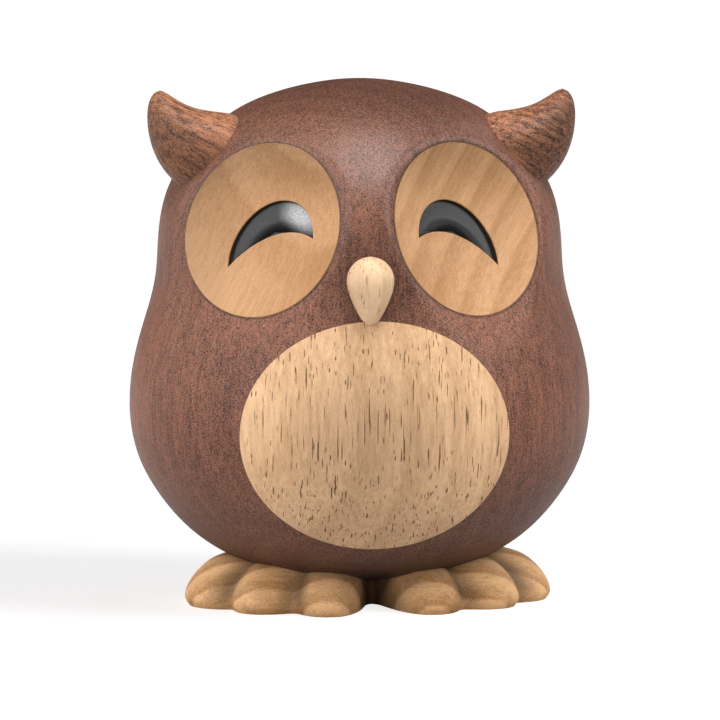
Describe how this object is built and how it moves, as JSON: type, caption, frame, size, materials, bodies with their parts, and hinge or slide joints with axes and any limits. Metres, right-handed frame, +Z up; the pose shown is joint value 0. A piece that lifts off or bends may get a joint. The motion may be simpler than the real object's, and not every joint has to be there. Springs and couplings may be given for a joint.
{
  "type": "wooden owl figurine",
  "caption": "Round carved wooden owl with dished inlaid eyes, metal crescents, an oval belly inlay, a drop-shaped beak, horn-shaped ears and carved feet.",
  "frame": {"origin": "on the floor, under the axis of the turned body", "axes": "+Z up, the owl looks along -Y, +X is on the right when it is seen from the front"},
  "size_m": [0.0972, 0.098, 0.11],
  "materials": {
    "dark_wood": "satin oiled dark walnut",
    "ear_wood": "satin oiled walnut, grain along the horn",
    "eye_wood": "satin light maple",
    "belly_wood": "satin light oak with dark upright pores",
    "beak_wood": "satin light oak with short dark pores",
    "foot_wood": "satin light oak",
    "dowel_wood": "plain sanded beech",
    "dark_metal": "dark grey, rough satin"
  },
  "bodies": {
    "root": {"body": "dark_wood", "belly_inlay": "belly_wood", "left_eye_disc": "eye_wood", "right_eye_disc": "eye_wood", "left_eye_crescent": "dark_metal", "right_eye_crescent": "dark_metal", "beak": "beak_wood", "beak_dowel": "dowel_wood", "left_ear": "ear_wood", "right_ear": "ear_wood", "left_ear_dowel": "dowel_wood", "right_ear_dowel": "dowel_wood", "feet": "foot_wood", "left_foot_dowel": "dowel_wood", "right_foot_dowel": "dowel_wood"}
  },
  "joints": []
}
